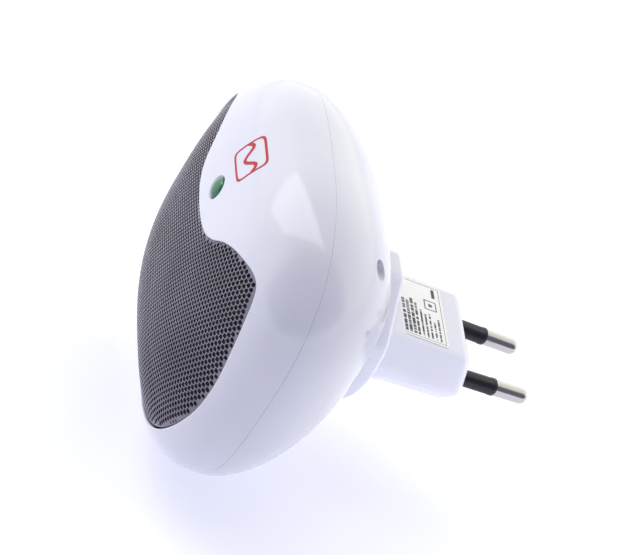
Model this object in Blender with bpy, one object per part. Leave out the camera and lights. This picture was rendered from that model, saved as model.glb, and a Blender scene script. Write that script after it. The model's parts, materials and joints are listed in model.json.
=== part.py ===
"""Plug-in ultrasonic pest repeller: two-piece shell, speaker grille, flat plug and electronics."""
import math

import bmesh
import bpy
from mathutils import Vector

MM = 0.001

# frame: X across, +Y toward the wall socket, +Z up, origin in the middle of the plug's end face
SEAM_Y = -55.7            # parting plane of the two shells
HALF_WIDTH = 46.9         # shell outline at the parting plane
RISE = 42.5               # shell height above the plug axis
DROP = 38.0               # shell height below the plug axis
OUTLINE_POWER = 2.77      # squareness of the outline
FRONT_DEPTH = 20.2        # front dome, from the parting plane
FRONT_POWER = 2.54
REAR_DEPTH = 33.0         # rear dome, from the parting plane
REAR_POWER = 1.65
WALL = 2.0
GAP = 0.3
SEAM_STEP = 0.5           # straight band beside the parting line
SEAM_CHAMFER = 0.35

COLLAR_RADIUS = 19.8      # round collar of the plug, flattened at the top
COLLAR_TOP = 18.6
COLLAR_FLAT = 17.4        # distance of the two sloping flats from the plug axis
COLLAR_FLAT_FACING = 52.4  # degrees from X
COLLAR_FACE_Y = -24.0
COLLAR_ROUND = 1.2
SPIGOT_RADIUS = 15.2      # part of the plug that passes through the rear shell

GRILLE_CENTRE_Z = -10.0
# right half of the grille outline, from the tongue round the ear and down to the bottom
GRILLE_OUTLINE = [(0, 14.6), (6, 15.0), (11, 16.2), (14.6, 18.2), (18.2, 21.2), (22.4, 23.6), (27, 25.2),
                  (31.4, 26.0), (34.2, 25.4), (36.4, 23.2), (39.0, 17.8), (41.2, 9.5), (42.1, 0.5), (41.4, -8),
                  (38.6, -15.8), (33.8, -22.6), (26, -28.6), (14.5, -32.6), (0, -33.6)]
GRILLE_SETBACK = 0.7
GRILLE_SHEET = 0.8
GRILLE_FLANGE = 0.8

PLUG_MIDDLE_Z = 0.5
PLUG_HALF_WIDTH = 17.7    # over the ridge along each side
# side, corner and top faces of the plug block: facing in degrees from X, distance from its middle
PLUG_FACES = [(38, 14.4), (54, 13.0), (90, 7.6)]
PLUG_TAPER = 0.5          # how much closer those faces are at the end face
PLUG_FILLET = 0.4         # where the block meets the collar
CORNER_POWER = 40         # crispness of the corners between faces
PLUG_END_ROUND = 3.0
PLUG_INNER_Y = -34.0
RETAINER_Y = -33.8
RETAINER_RADIUS = 19.0

PIN_ROOT_X = 9.3          # half pin spacing at the end face
PIN_TIP_X = 8.75          # half pin spacing at the tips
PIN_LENGTH = 19.0
SLEEVE_LENGTH = 10.0
SLEEVE_RADIUS = 2.1
PIN_RADIUS = 2.0
CORE_RADIUS = 1.3
SLEEVE_INNER_Y = -5.0
PIN_INNER_Y = -36.6

LABEL_HALF_WIDTH = 10.5
LABEL_NEAR_Y = -6.9
LABEL_FAR_Y = -23.0
LABEL_THICKNESS = 0.2

LED_Z = 21.8
LENS_RADIUS = 2.5
LENS_BULGE = 0.9
MARK_Z = 32.3
MARK_HALF_WIDTH = 5.1     # plain frame with a wave line across it
MARK_HALF_HEIGHT = 3.9
MARK_CORNER_POWER = 7
MARK_LINE = 0.26          # half width of the frame's line
MARK_WAVE = 1.3
MARK_WAVE_LINE = 0.42
MARK_FLOAT = 0.06         # clearance between the print and the cover
MARK_THICKNESS = 0.16

SCREW_X = 21.9
SCREW_Z = 30.8
SCREW_POCKET_RADIUS = 2.3
SCREW_HEAD_Y = -51.3
SCREW_PILOT_RADIUS = 1.6
FRONT_POST_RADIUS = 3.4
REAR_POST_RADIUS = 4.2
POST_INSET = 0.9          # how far a post ends below the outer surface of the rear shell

HOOK_HALF_WIDTH = 9.0     # hook at the bottom of the front cover
HOOK_LOW_Z = -36.9
HOOK_THICKNESS = 1.3
HOOK_HEIGHT = 3.3
HOOK_REACH = 4.2

BOARD_REAR_Y = -46.5
BOARD_FRONT_Y = -48.1
BOARD_HALF_WIDTH = 33.0
BOARD_TOP = 20.0
BOARD_BOTTOM = -18.0
BOARD_POST_X = 28.0
BOARD_POST_Z = 1.0
BOARD_POST_RADIUS = 3.0

TWEETER_Z = -6.0
TWEETER_RADIUS = 15.5
TWEETER_FLANGE = 18.0
TWEETER_FRONT_Y = -66.5

AROUND = 80               # segments round the shells

COLOURS = {
    "shell_white": ((0.80, 0.80, 0.85), 0.0, 0.18),
    "grille_metal": ((0.035, 0.03, 0.05), 0.8, 0.42),
    "lens_green": ((0.03, 0.30, 0.14), 0.0, 0.12),
    "mark_red": ((0.55, 0.01, 0.03), 0.0, 0.4),
    "label_paper": ((0.78, 0.78, 0.82), 0.0, 0.45),
    "sleeve_black": ((0.02, 0.018, 0.03), 0.0, 0.4),
    "pin_nickel": ((0.62, 0.60, 0.58), 1.0, 0.2),
    "screw_steel": ((0.45, 0.45, 0.46), 1.0, 0.3),
    "board_green": ((0.02, 0.16, 0.06), 0.0, 0.5),
    "resistor_blue": ((0.05, 0.15, 0.35), 0.0, 0.4),
    "film_yellow": ((0.62, 0.42, 0.03), 0.0, 0.4),
    "can_black": ((0.02, 0.02, 0.04), 0.0, 0.35),
    "chip_black": ((0.02, 0.02, 0.02), 0.0, 0.6),
    "glass_orange": ((0.6, 0.18, 0.05), 0.0, 0.2),
    "coil_copper": ((0.55, 0.22, 0.08), 1.0, 0.35),
    "tweeter_black": ((0.03, 0.03, 0.03), 0.0, 0.55),
    "cone_paper": ((0.25, 0.24, 0.22), 0.0, 0.8),
    "brass": ((0.68, 0.48, 0.18), 1.0, 0.3),
    "wire_red": ((0.5, 0.02, 0.02), 0.0, 0.5),
    "wire_black": ((0.02, 0.02, 0.02), 0.0, 0.5),
    "foam_grey": ((0.12, 0.12, 0.13), 0.0, 0.95),
    "cloth_black": ((0.015, 0.015, 0.018), 0.0, 0.95),
}


# ---------------------------------------------------------------- scene and mesh helpers
def clear_scene():
    for item in list(bpy.data.objects):
        bpy.data.objects.remove(item, do_unlink=True)


def material(slot):
    found = bpy.data.materials.get(slot)
    if found:
        return found
    colour, metallic, roughness = COLOURS[slot]
    made = bpy.data.materials.new(slot)
    made.use_nodes = True
    shader = made.node_tree.nodes["Principled BSDF"]
    shader.inputs["Base Color"].default_value = (*colour, 1.0)
    shader.inputs["Metallic"].default_value = metallic
    shader.inputs["Roughness"].default_value = roughness
    return made


def finish(name, mesh_data, slot, sharp=32):
    bpy.context.scene.collection.objects.link(bpy.data.objects.new(name, mesh_data))
    piece = bpy.data.objects[name]
    mesh_data.materials.clear()
    mesh_data.materials.append(material(slot))
    mesh_data.shade_smooth()
    mesh_data.set_sharp_from_angle(angle=math.radians(sharp))
    return piece


def mesh_from(points, faces):
    """Closed mesh from millimetre points, normals made consistent and outward."""
    data = bpy.data.meshes.new("piece")
    data.from_pydata([(x * MM, y * MM, z * MM) for x, y, z in points], [], faces)
    work = bmesh.new()
    work.from_mesh(data)
    bmesh.ops.recalc_face_normals(work, faces=work.faces)
    work.to_mesh(data)
    work.free()
    return data


def loft(rings, closed=False, poles=None):
    """Skin rings of equal count: closed joins last to first, poles are end points, else flat caps."""
    count = len(rings[0])
    points = [p for ring in rings for p in ring]
    faces = []
    steps = len(rings) if closed else len(rings) - 1
    for i in range(steps):
        a = i * count
        b = ((i + 1) % len(rings)) * count
        for j in range(count):
            k = (j + 1) % count
            faces.append((a + j, a + k, b + k, b + j))
    if closed:
        return mesh_from(points, faces)
    last = (len(rings) - 1) * count
    if poles:
        points.extend(poles)
        for j in range(count):
            k = (j + 1) % count
            faces.append((len(points) - 2, k, j))
            faces.append((len(points) - 1, last + j, last + k))
    else:
        faces.append(tuple(reversed(range(count))))
        faces.append(tuple(range(last, last + count)))
    return mesh_from(points, faces)


def basis(direction):
    """Two unit vectors across a direction."""
    d = Vector(direction).normalized()
    side = Vector((1, 0, 0)) if abs(d.x) < 0.8 else Vector((0, 0, 1))
    u = (side - d * side.dot(d)).normalized()
    return d, u, d.cross(u)


def turned(start, direction, profile, segments=32, closed=False):
    """Solid of revolution: profile is (distance along, radius); closed profiles make rings."""
    d, u, v = basis(direction)
    base = Vector(start)
    rings = []
    poles = []
    for along, radius in profile:
        if radius <= 0:
            poles.append(tuple(base + d * along))
            continue
        ring = []
        for j in range(segments):
            t = 2 * math.pi * j / segments
            ring.append(tuple(base + d * along + (u * math.cos(t) + v * math.sin(t)) * radius))
        rings.append(ring)
    return loft(rings, closed=closed, poles=poles if len(poles) == 2 else None)


def rod(start, end, radius, segments=24):
    span = Vector(end) - Vector(start)
    return turned(start, span, [(0, radius), (span.length, radius)], segments)


def box(low, high):
    (x0, y0, z0), (x1, y1, z1) = low, high
    rings = []
    for y in (y0, y1):
        rings.append([(x0, y, z0), (x1, y, z0), (x1, y, z1), (x0, y, z1)])
    return loft(rings)


def column(x, z, radius, start_y, surface, inset, segments=24):
    """Round post from a flat end to a shell surface, its far end following that surface."""
    rings = []
    for share, flat in ((0.5, True), (1.0, True), (1.0, False), (0.5, False)):
        ring = []
        for j in range(segments):
            t = 2 * math.pi * (j + 0.3) / segments
            px, pz = x + radius * share * math.cos(t), z + radius * share * math.sin(t)
            ring.append((px, start_y if flat else surface(px, pz, inset), pz))
        rings.append(ring)
    return loft(rings, poles=[(x, start_y, z), (x, surface(x, z, inset), z)])


def soft_box(low, high, edge):
    """Block with rounded edges along Y and small rounded ends."""
    (x0, y0, z0), (x1, y1, z1) = low, high
    rings = []
    for y, inset in ((y0, edge * 0.5), (y0 + edge * 0.5, 0), (y1 - edge * 0.5, 0), (y1, edge * 0.5)):
        ring = []
        corners = ((x1, z1, 0), (x0, z1, 90), (x0, z0, 180), (x1, z0, 270))
        for x, z, begin in corners:
            cx = x - math.copysign(edge, x - (x0 + x1) / 2)
            cz = z - math.copysign(edge, z - (z0 + z1) / 2)
            for k in range(3):
                t = math.radians(begin + 45 * k)
                ring.append((cx + (edge - inset) * math.cos(t), y, cz + (edge - inset) * math.sin(t)))
        rings.append(ring)
    return loft(rings)


def carve(piece, tools, operation="DIFFERENCE"):
    """Apply exact booleans with a list of tool meshes."""
    for tool in tools:
        cutter = bpy.data.objects.new("tool", tool)
        bpy.context.scene.collection.objects.link(cutter)
        change = piece.modifiers.new("cut", "BOOLEAN")
        change.operation = operation
        change.solver = "EXACT"
        change.object = cutter
        bpy.context.view_layer.update()
        ready = bpy.data.meshes.new_from_object(piece.evaluated_get(bpy.context.evaluated_depsgraph_get()))
        piece.modifiers.remove(change)
        piece.data = ready
        bpy.data.objects.remove(cutter, do_unlink=True)
    return piece


def sharpen(piece, angle=32):
    piece.data.shade_smooth()
    piece.data.set_sharp_from_angle(angle=math.radians(angle))


# ---------------------------------------------------------------- shell surface
def outline_ratio(x, z, inset):
    half = RISE if z > 0 else DROP
    across = abs(x) / (HALF_WIDTH - inset)
    along = abs(z) / (half - inset)
    return (across ** OUTLINE_POWER + along ** OUTLINE_POWER) ** (1 / OUTLINE_POWER)


def front_y(x, z, inset):
    ratio = min(1.0, outline_ratio(x, z, inset))
    depth = (1 - ratio ** FRONT_POWER) ** (1 / FRONT_POWER)
    return SEAM_Y - SEAM_STEP - (FRONT_DEPTH - SEAM_STEP - inset) * depth


def rear_y(x, z, inset):
    ratio = min(1.0, outline_ratio(x, z, inset))
    depth = (1 - ratio ** REAR_POWER) ** (1 / REAR_POWER)
    return SEAM_Y + SEAM_STEP + (REAR_DEPTH - SEAM_STEP - inset) * depth


def reach(angle, centre_z, inset):
    """Distance from (0, centre_z) to the shell outline in one direction."""
    low, high = 0.0, 120.0
    for _ in range(40):
        mid = (low + high) / 2
        if outline_ratio(mid * math.cos(angle), centre_z + mid * math.sin(angle), inset) < 1:
            low = mid
        else:
            high = mid
    return low


def angles(count=AROUND):
    return [2 * math.pi * (j + 0.5) / count for j in range(count)]


def outline_polar():
    """Grille outline as (angle, radius) about the grille centre, both halves."""
    right = []
    for x, z in GRILLE_OUTLINE:
        right.append((math.atan2(z - GRILLE_CENTRE_Z, x), math.hypot(x, z - GRILLE_CENTRE_Z)))
    left = [(math.pi - a, r) for a, r in right[1:-1]]
    return sorted(((a + 2 * math.pi) % (2 * math.pi), r) for a, r in right + left)


OUTLINE_POLAR = outline_polar()


def outline_node(k):
    """Outline point k, counted on round the full turn in either direction."""
    turn, index = divmod(k, len(OUTLINE_POLAR))
    angle, radius = OUTLINE_POLAR[index]
    return angle + 2 * math.pi * turn, radius


def grille_radius(angle):
    """Smooth closed curve through the outline points."""
    angle = angle % (2 * math.pi)
    count = len(OUTLINE_POLAR)
    i = max([k for k in range(count) if OUTLINE_POLAR[k][0] <= angle], default=count - 1)
    if angle < OUTLINE_POLAR[0][0]:
        angle += 2 * math.pi
    (a0, r0), (a1, r1), (a2, r2), (a3, r3) = (outline_node(i + k) for k in (-1, 0, 1, 2))
    slope1 = (r2 - r0) / (a2 - a0)
    slope2 = (r3 - r1) / (a3 - a1)
    span = a2 - a1
    t = (angle - a1) / span
    return ((2 * t ** 3 - 3 * t ** 2 + 1) * r1 + (t ** 3 - 2 * t ** 2 + t) * span * slope1
            + (3 * t ** 2 - 2 * t ** 3) * r2 + (t ** 3 - t ** 2) * span * slope2)


def grille_point(angle, radius, inset):
    x = radius * math.cos(angle)
    z = GRILLE_CENTRE_Z + radius * math.sin(angle)
    return (x, front_y(x, z, inset), z)


def soft_section(angle, planes):
    """Radius of a section symmetric left to right and top to bottom, bounded by planes, corners soft."""
    c, s = abs(math.cos(angle)), abs(math.sin(angle))
    total = 0.0
    for degrees, distance in planes:
        facing = math.radians(degrees)
        total += ((c * math.cos(facing) + s * math.sin(facing)) / distance) ** CORNER_POWER
    return total ** (-1 / CORNER_POWER)


def plug_radius(angle, y, shrink=0.0):
    """Section of the plug block, ridged along each side and slightly smaller toward its end face."""
    share = min(1.0, max(0.0, (y - COLLAR_FACE_Y) / -COLLAR_FACE_Y))
    planes = [(facing, distance - PLUG_TAPER * share - shrink) for facing, distance in PLUG_FACES]
    return soft_section(angle, planes + [(0, PLUG_HALF_WIDTH - shrink)])


def collar_radius(angle, shrink=0.0):
    """Circle flattened by a top plane and two sloping planes above the plug axis."""
    if math.sin(angle) <= 0:
        return COLLAR_RADIUS - shrink
    flat = soft_section(angle, [(90, COLLAR_TOP), (COLLAR_FLAT_FACING, COLLAR_FLAT)])
    return (flat ** -CORNER_POWER + COLLAR_RADIUS ** -CORNER_POWER) ** (-1 / CORNER_POWER) - shrink


# ---------------------------------------------------------------- shells
def front_cover():
    turn = angles()
    rings = []
    rings.append([grille_point(a, grille_radius(a), 0.45) for a in turn])
    steps = 9
    for i in range(steps + 1):
        w = math.sin(math.pi / 2 * i / steps)
        ring = []
        for a in turn:
            start = grille_radius(a) + 0.4
            end = reach(a, GRILLE_CENTRE_Z, 0.0)
            ring.append(grille_point(a, start + (end - start) * w, 0.0))
        rings.append(ring)
    for inset in (SEAM_CHAMFER, WALL):
        ring = []
        for a in turn:
            r = reach(a, GRILLE_CENTRE_Z, inset)
            ring.append((r * math.cos(a), SEAM_Y - GAP / 2, GRILLE_CENTRE_Z + r * math.sin(a)))
        rings.append(ring)
    for i in range(steps, -1, -1):
        w = math.sin(math.pi / 2 * i / steps)
        ring = []
        for a in turn:
            start = grille_radius(a)
            end = reach(a, GRILLE_CENTRE_Z, WALL)
            ring.append(grille_point(a, start + (end - start) * w, WALL))
        rings.append(ring)
    piece = finish("front_cover", loft(rings, closed=True), "shell_white")
    posts = []
    for side in (-1, 1):
        posts.append(column(side * SCREW_X, SCREW_Z, FRONT_POST_RADIUS, SEAM_Y - GAP / 2, front_y, WALL / 2))
    carve(piece, posts + hook(), "UNION")
    pilots = []
    for side in (-1, 1):
        x = side * SCREW_X
        pilots.append(rod((x, SEAM_Y + 1, SCREW_Z), (x, SEAM_Y - 8, SCREW_Z), SCREW_PILOT_RADIUS))
    base, normal = lens_seat()
    pilots.append(rod(base - normal * 6, base + normal * 3, LENS_RADIUS + GAP, 32))
    carve(piece, pilots)
    sharpen(piece)
    return piece


def hook():
    """Root and tongue of the hook that holds the bottom of the front cover."""
    root_y = SEAM_Y - 1.1
    top_z = HOOK_LOW_Z + HOOK_HEIGHT
    root = box((-HOOK_HALF_WIDTH, root_y, HOOK_LOW_Z), (HOOK_HALF_WIDTH, SEAM_Y - 0.4, top_z))
    tip_y = SEAM_Y + HOOK_REACH
    tongue = box((-HOOK_HALF_WIDTH, root_y, top_z - HOOK_THICKNESS), (HOOK_HALF_WIDTH, tip_y, top_z))
    return [root, tongue]


def rear_cover():
    turn = angles()
    rings = []
    for inset in (WALL, SEAM_CHAMFER):
        ring = []
        for a in turn:
            r = reach(a, 0, inset)
            ring.append((r * math.cos(a), SEAM_Y + GAP / 2, r * math.sin(a)))
        rings.append(ring)
    opening = SPIGOT_RADIUS + GAP
    steps = 10
    for inset, order in ((0.0, range(steps + 1)), (WALL, range(steps, 0, -1))):
        for i in order:
            ring = []
            for a in turn:
                edge = reach(a, 0, inset)
                r = edge + (opening - edge) * (i / steps) ** 2
                x, z = r * math.cos(a), r * math.sin(a)
                ring.append((x, rear_y(x, z, inset), z))
            rings.append(ring)
    piece = finish("rear_cover", loft(rings, closed=True), "shell_white")
    towers = []
    for side in (-1, 1):
        towers.append(column(side * SCREW_X, SCREW_Z, REAR_POST_RADIUS, SEAM_Y + GAP / 2, rear_y, POST_INSET))
        towers.append(column(side * BOARD_POST_X, BOARD_POST_Z, BOARD_POST_RADIUS, BOARD_REAR_Y + GAP, rear_y,
                             POST_INSET))
    carve(piece, towers, "UNION")
    holes = []
    for side in (-1, 1):
        x = side * SCREW_X
        holes.append(rod((x, SCREW_HEAD_Y - GAP, SCREW_Z), (x, -25, SCREW_Z), SCREW_POCKET_RADIUS))
        holes.append(rod((x, SEAM_Y - 1, SCREW_Z), (x, SCREW_HEAD_Y + 1, SCREW_Z), 1.65))
        x = side * BOARD_POST_X
        holes.append(rod((x, BOARD_REAR_Y - 1, BOARD_POST_Z), (x, BOARD_REAR_Y + 7, BOARD_POST_Z), 1.35))
    carve(piece, holes)
    sharpen(piece)
    return piece


def grille():
    turn = angles()
    rings = []

    def add(shift, inset, share=1.0):
        rings.append([grille_point(a, (grille_radius(a) + shift) * share, inset) for a in turn])

    back = GRILLE_SETBACK + GRILLE_SHEET
    for share in (0.12, 0.3, 0.5, 0.7, 0.86):
        add(-GAP, GRILLE_SETBACK, share)
    add(-GAP, GRILLE_SETBACK)
    add(-GAP, WALL + GAP)
    add(GRILLE_FLANGE, WALL + GAP)
    add(GRILLE_FLANGE, WALL + GAP + GRILLE_SHEET)
    add(-GAP - GRILLE_SHEET, WALL + GAP + GRILLE_SHEET)
    add(-GAP - GRILLE_SHEET, back)
    for share in (0.86, 0.7, 0.5, 0.3, 0.12):
        add(-GAP - GRILLE_SHEET, back, share)
    poles = [(0, front_y(0, GRILLE_CENTRE_Z, GRILLE_SETBACK), GRILLE_CENTRE_Z),
             (0, front_y(0, GRILLE_CENTRE_Z, back), GRILLE_CENTRE_Z)]
    return finish("grille", loft(rings, poles=poles), "grille_metal", 40)


def grille_cloth():
    """Dust cloth that lies along the back of the grille."""
    turn = angles()
    near = WALL + GAP + GRILLE_SHEET + GAP
    far = near + 0.4
    rings = []
    for inset, shares in ((near, (0.2, 0.5, 0.8, 1.0)), (far, (1.0, 0.8, 0.5, 0.2))):
        for share in shares:
            rings.append([grille_point(a, (grille_radius(a) - 0.8) * share, inset) for a in turn])
    poles = [(0, front_y(0, GRILLE_CENTRE_Z, inset), GRILLE_CENTRE_Z) for inset in (near, far)]
    return finish("grille_cloth", loft(rings, poles=poles), "cloth_black", 40)


# ---------------------------------------------------------------- lens and printed mark
def lens_seat():
    """Point on the tongue under the lens and the outward normal there."""
    step = 0.2
    here = Vector((0, front_y(0, LED_Z, 0), LED_Z))
    rise = (front_y(0, LED_Z + step, 0) - front_y(0, LED_Z - step, 0)) / (2 * step)
    return here, Vector((0, -1, rise)).normalized()


def led_lens():
    base, normal = lens_seat()
    profile = [(-3.2, 0), (-3.2, LENS_RADIUS + 1.0), (-2.4, LENS_RADIUS + 1.0), (-2.4, LENS_RADIUS)]
    for k in range(6):
        t = math.pi / 2 * k / 6
        profile.append((LENS_BULGE * math.sin(t) - 0.1, LENS_RADIUS * math.cos(t)))
    profile.append((LENS_BULGE - 0.1, 0))
    return finish("led_lens", turned(base, normal, profile, 32), "lens_green")


def printed_ring(points):
    """Section of a printed line: two points on the cover, each with an under and an upper side."""
    (x0, z0), (x1, z1) = points
    ring = []
    for x, z, lift in ((x0, z0, 0), (x1, z1, 0), (x1, z1, MARK_THICKNESS), (x0, z0, MARK_THICKNESS)):
        ring.append((x, front_y(x, z, 0) - MARK_FLOAT - lift, z))
    return ring


def printed_frame():
    rings = []
    for t in angles(56):
        c, s = math.cos(t), math.sin(t)
        edge = []
        for shift in (-MARK_LINE, MARK_LINE):
            wide, high = MARK_HALF_WIDTH + shift, MARK_HALF_HEIGHT + shift
            swell = abs(c / wide) ** MARK_CORNER_POWER + abs(s / high) ** MARK_CORNER_POWER
            r = swell ** (-1 / MARK_CORNER_POWER)
            edge.append((r * c, MARK_Z + r * s))
        rings.append(printed_ring(edge))
    return loft(rings, closed=True)


def printed_wave():
    rings = []
    count = 24
    turns = 3 * math.pi
    for i in range(count + 1):
        t = i / count
        x = (2 * t - 1) * MARK_HALF_WIDTH
        z = MARK_Z + MARK_WAVE * math.sin(turns * t)
        slope = MARK_WAVE * turns * math.cos(turns * t) / (2 * MARK_HALF_WIDTH)
        across = MARK_WAVE_LINE / math.hypot(1, slope)
        rings.append(printed_ring([(x + slope * across, z - across), (x - slope * across, z + across)]))
    return loft(rings)


def printed_mark():
    """Plain print above the lens: a rounded frame with a wave line across it."""
    piece = finish("printed_mark", flat_faced(printed_frame()), "mark_red")
    carve(piece, [flat_faced(printed_wave())], "UNION")
    flat_faced(piece.data)
    return piece


def flat_faced(data):
    """Split every face into triangles."""
    work = bmesh.new()
    work.from_mesh(data)
    bmesh.ops.triangulate(work, faces=work.faces)
    work.to_mesh(data)
    work.free()
    return data


# ---------------------------------------------------------------- plug
def plug_housing():
    turn = angles()
    rings = []

    def ring(radius, depth, middle=0.0):
        made = []
        for a in turn:
            x, z = radius(a) * math.cos(a), middle + radius(a) * math.sin(a)
            made.append((x, depth(x, z), z))
        rings.append(made)

    def on_shell(x, z):
        return rear_y(x, z, 0.0) + GAP

    ring(lambda a: SPIGOT_RADIUS, lambda x, z: PLUG_INNER_Y)
    ring(lambda a: SPIGOT_RADIUS, on_shell)
    ring(collar_radius, on_shell)
    for k in range(5):
        t = math.pi / 2 * k / 4
        shrink = COLLAR_ROUND * (1 - math.cos(t))
        y = COLLAR_FACE_Y - COLLAR_ROUND * (1 - math.sin(t))
        ring(lambda a: collar_radius(a, shrink), lambda x, z: y)
    ring(lambda a: plug_radius(a, COLLAR_FACE_Y, -PLUG_FILLET), lambda x, z: COLLAR_FACE_Y, PLUG_MIDDLE_Z)
    ring(lambda a: plug_radius(a, COLLAR_FACE_Y), lambda x, z: COLLAR_FACE_Y + PLUG_FILLET, PLUG_MIDDLE_Z)
    for k in range(6):
        t = math.pi / 2 * k / 5
        y = -PLUG_END_ROUND * (1 - math.sin(t))
        shrink = PLUG_END_ROUND * (1 - math.cos(t))
        ring(lambda a: plug_radius(a, y, shrink), lambda x, z: y, PLUG_MIDDLE_Z)
    piece = finish("plug_housing", loft(rings), "shell_white")
    bores = []
    for side in (-1, 1):
        bores.append(rod(pin_at(side, SLEEVE_INNER_Y - GAP), pin_at(side, 3), SLEEVE_RADIUS + GAP, 28))
        bores.append(rod(pin_at(side, -40), pin_at(side, 0), CORE_RADIUS + GAP, 28))
    carve(piece, bores)
    sharpen(piece)
    return piece


def plug_retainer():
    """Ring pressed on the spigot inside the rear shell; it keeps the plug in place."""
    inner = SPIGOT_RADIUS + GAP
    profile = [(0, inner), (0, RETAINER_RADIUS), (1.8, RETAINER_RADIUS), (1.8, inner)]
    return finish("plug_retainer", turned((0, RETAINER_Y, 0), (0, 1, 0), profile, 48, closed=True), "tweeter_black")


def pin_at(side, y):
    """Point on a pin's axis; the axes lean toward each other to the tips."""
    x = PIN_ROOT_X + (PIN_TIP_X - PIN_ROOT_X) * y / PIN_LENGTH
    return Vector((side * x, y, 0))


def plug_pin(name, side):
    start = pin_at(side, PIN_INNER_Y)
    along = pin_at(side, PIN_LENGTH) - start
    shoulder = SLEEVE_LENGTH - PIN_INNER_Y + GAP
    profile = [(0, 0), (0, CORE_RADIUS), (shoulder, CORE_RADIUS), (shoulder, PIN_RADIUS - 0.15),
               (shoulder + 0.15, PIN_RADIUS), (along.length - 1.6, PIN_RADIUS)]
    for k in range(1, 5):
        t = math.pi / 2 * k / 5
        profile.append((along.length - 1.6 * (1 - math.sin(t)), PIN_RADIUS * math.cos(t) ** 0.7))
    profile.append((along.length, 0))
    return finish(name, turned(start, along, profile, 28), "pin_nickel")


def pin_sleeve(name, side):
    start = pin_at(side, SLEEVE_INNER_Y)
    along = pin_at(side, SLEEVE_LENGTH) - start
    end = along.length
    profile = [(0, CORE_RADIUS + GAP), (0, SLEEVE_RADIUS), (end - 0.9, SLEEVE_RADIUS),
               (end - 0.7, SLEEVE_RADIUS + 0.12), (end, SLEEVE_RADIUS + 0.12), (end, CORE_RADIUS + GAP)]
    return finish(name, turned(start, along, profile, 28, closed=True), "sleeve_black")


def label_height(y):
    return PLUG_MIDDLE_Z + plug_radius(math.pi / 2, y)


def rating_label():
    rings = []
    for y in (LABEL_FAR_Y, LABEL_NEAR_Y):
        low = label_height(y) + 0.06
        rings.append([(-LABEL_HALF_WIDTH, y, low), (LABEL_HALF_WIDTH, y, low),
                      (LABEL_HALF_WIDTH, y, low + LABEL_THICKNESS), (-LABEL_HALF_WIDTH, y, low + LABEL_THICKNESS)])
    return finish("rating_label", loft(rings), "label_paper")


def contact_strap(name, side):
    """Bent brass strip from a pin's inner end back to the board."""
    x0, x1 = 5.6, 14.0
    back, thick = PIN_INNER_Y + 1.0, 0.8
    board = BOARD_REAR_Y + GAP
    outline = [(x0, back), (x1, back), (x1, board), (x1 - thick, board), (x1 - thick, back - thick),
               (x0, back - thick)]
    rings = [[(side * x, y, z) for x, y in outline] for z in (-3.2, 3.2)]
    piece = finish(name, loft(rings), "brass")
    carve(piece, [rod(pin_at(side, -42), pin_at(side, -33), CORE_RADIUS + GAP)])
    sharpen(piece)
    return piece


# ---------------------------------------------------------------- fasteners
def screw(name, x, z, head_y, toward, shaft_radius, head_radius, head_height, length):
    """Pan-head screw; the shaft runs from the underside of the head toward -Y or +Y."""
    profile = [(-head_height, 0), (-head_height, head_radius * 0.7), (-head_height * 0.55, head_radius),
               (0, head_radius), (0, shaft_radius), (length - 1.0, shaft_radius), (length, shaft_radius * 0.4),
               (length, 0)]
    piece = finish(name, turned((x, head_y, z), (0, toward, 0), profile, 24), "screw_steel")
    slot_y = head_y - toward * head_height
    deep = toward * head_height * 0.45
    arm = head_radius * 0.62
    cuts = []
    for wide, tall in ((arm, 0.32), (0.32, arm)):
        ends = sorted((slot_y - toward * 0.5, slot_y + deep))
        cuts.append(box((x - wide, ends[0], z - tall), (x + wide, ends[1], z + tall)))
    carve(piece, cuts)
    sharpen(piece)
    return piece


def fasteners():
    for name, side in (("left", -1), ("right", 1)):
        screw("cover_screw_" + name, side * SCREW_X, SCREW_Z, SCREW_HEAD_Y, -1, 1.3, 2.0, 1.6, 11.0)
        screw("board_screw_" + name, side * BOARD_POST_X, BOARD_POST_Z, BOARD_FRONT_Y - GAP, 1, 1.05, 2.3, 1.5, 7.6)


# ---------------------------------------------------------------- electronics
def circuit_board():
    low = (-BOARD_HALF_WIDTH, BOARD_FRONT_Y, BOARD_BOTTOM)
    high = (BOARD_HALF_WIDTH, BOARD_REAR_Y, BOARD_TOP)
    piece = finish("circuit_board", soft_box(low, high, 0.6), "board_green")
    holes = []
    for side in (-1, 1):
        x = side * BOARD_POST_X
        holes.append(rod((x, BOARD_FRONT_Y - 1, BOARD_POST_Z), (x, BOARD_REAR_Y + 1, BOARD_POST_Z), 1.6))
    carve(piece, holes)
    sharpen(piece)
    return piece


def board_components():
    top = BOARD_REAR_Y + GAP
    finish("dropper_capacitor", soft_box((-10, top, 8), (10, top + 10.5, 16), 1.2), "film_yellow")
    finish("input_resistor", turned((14.5, top + 2.3, 12), (1, 0, 0), [
        (0, 0), (0, 1.6), (0.6, 2.2), (2.2, 2.2), (2.8, 1.9), (8.2, 1.9), (8.8, 2.2), (10.4, 2.2), (11, 1.6),
        (11, 0)], 20), "resistor_blue")
    finish("smoothing_capacitor", turned((-20, top, -11), (0, 1, 0), [
        (0, 0), (0, 4.0), (1.2, 4.0), (1.7, 3.7), (2.2, 4.0), (9.4, 4.0), (9.9, 3.6), (9.9, 0)], 28), "can_black")
    finish("rectifier", soft_box((16, top, -14), (23, top + 4.5, -9), 0.8), "chip_black")
    finish("zener_diode", turned((-2.5, top + 1.4, -16), (1, 0, 0), [
        (0, 0), (0, 0.9), (0.4, 1.2), (4.6, 1.2), (5, 0.9), (5, 0)], 16), "glass_orange")
    finish("drive_coil", turned((0, top, -9), (0, 1, 0), [
        (0, 0), (0, 4.4), (0.9, 4.4), (0.9, 3.7), (7.1, 3.7), (7.1, 4.4), (8, 4.4), (8, 0)], 28), "coil_copper")
    face = BOARD_FRONT_Y - GAP
    finish("oscillator_chip", soft_box((19.5, face - 3.4, 9), (26, face, 18.5), 0.5), "chip_black")


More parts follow.
